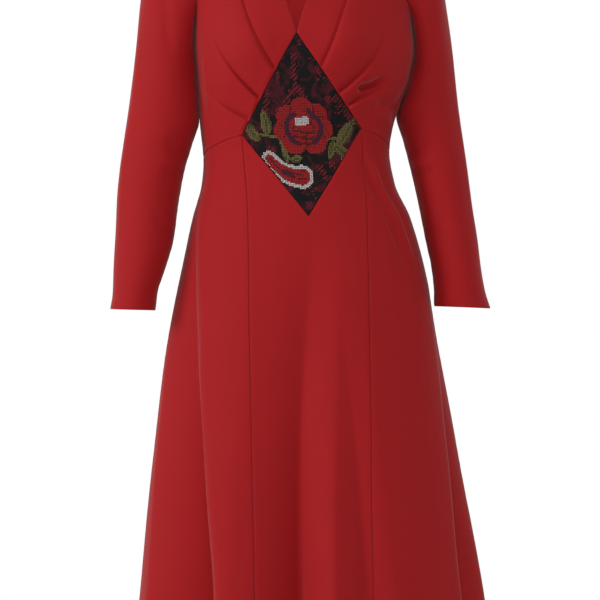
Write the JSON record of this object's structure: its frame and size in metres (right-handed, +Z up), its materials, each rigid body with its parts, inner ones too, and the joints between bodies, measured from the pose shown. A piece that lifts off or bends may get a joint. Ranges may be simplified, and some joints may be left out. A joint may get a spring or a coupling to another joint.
{
  "type": "long-sleeved dress with an embroidered diamond inset",
  "caption": "Long-sleeved A-line dress with a V neck, pleated bodice, cross-stitched diamond inset at the waist and a back zip, filled out as worn.",
  "frame": {"origin": "midway between the neck ends of the two shoulder seams, where the dress hangs on its wearer's shoulders", "axes": "+Z up along the body, +X to the wearer's left, -Y to the front"},
  "size_m": [0.562, 0.4251, 1.1799],
  "materials": {
    "red_crepe": "matt crepe with a soft sheen",
    "inset_cloth": "black figured ground with raised cross stitches",
    "zip_enamel": "satin enamel"
  },
  "bodies": {
    "dress": {"bodice_front_right": "red_crepe", "bodice_front_left": "red_crepe", "bodice_back_right": "red_crepe", "bodice_back_left": "red_crepe", "inset_diamond": "inset_cloth", "sleeve_right": "red_crepe", "sleeve_left": "red_crepe", "skirt_front_centre": "red_crepe", "skirt_front_right": "red_crepe", "skirt_front_left": "red_crepe", "skirt_back_right": "red_crepe", "skirt_back_left": "red_crepe", "zip_slider": "zip_enamel"},
    "zip_pull": {"zip_pull": "zip_enamel"}
  },
  "joints": [
    {"name": "zip_pull_hinge", "type": "hinge", "parent": "dress", "child": "zip_pull", "pos_m": [0, 0.06407, -0.03577], "axis": [1, 0, 0], "range_deg": [0, 160]}
  ]
}
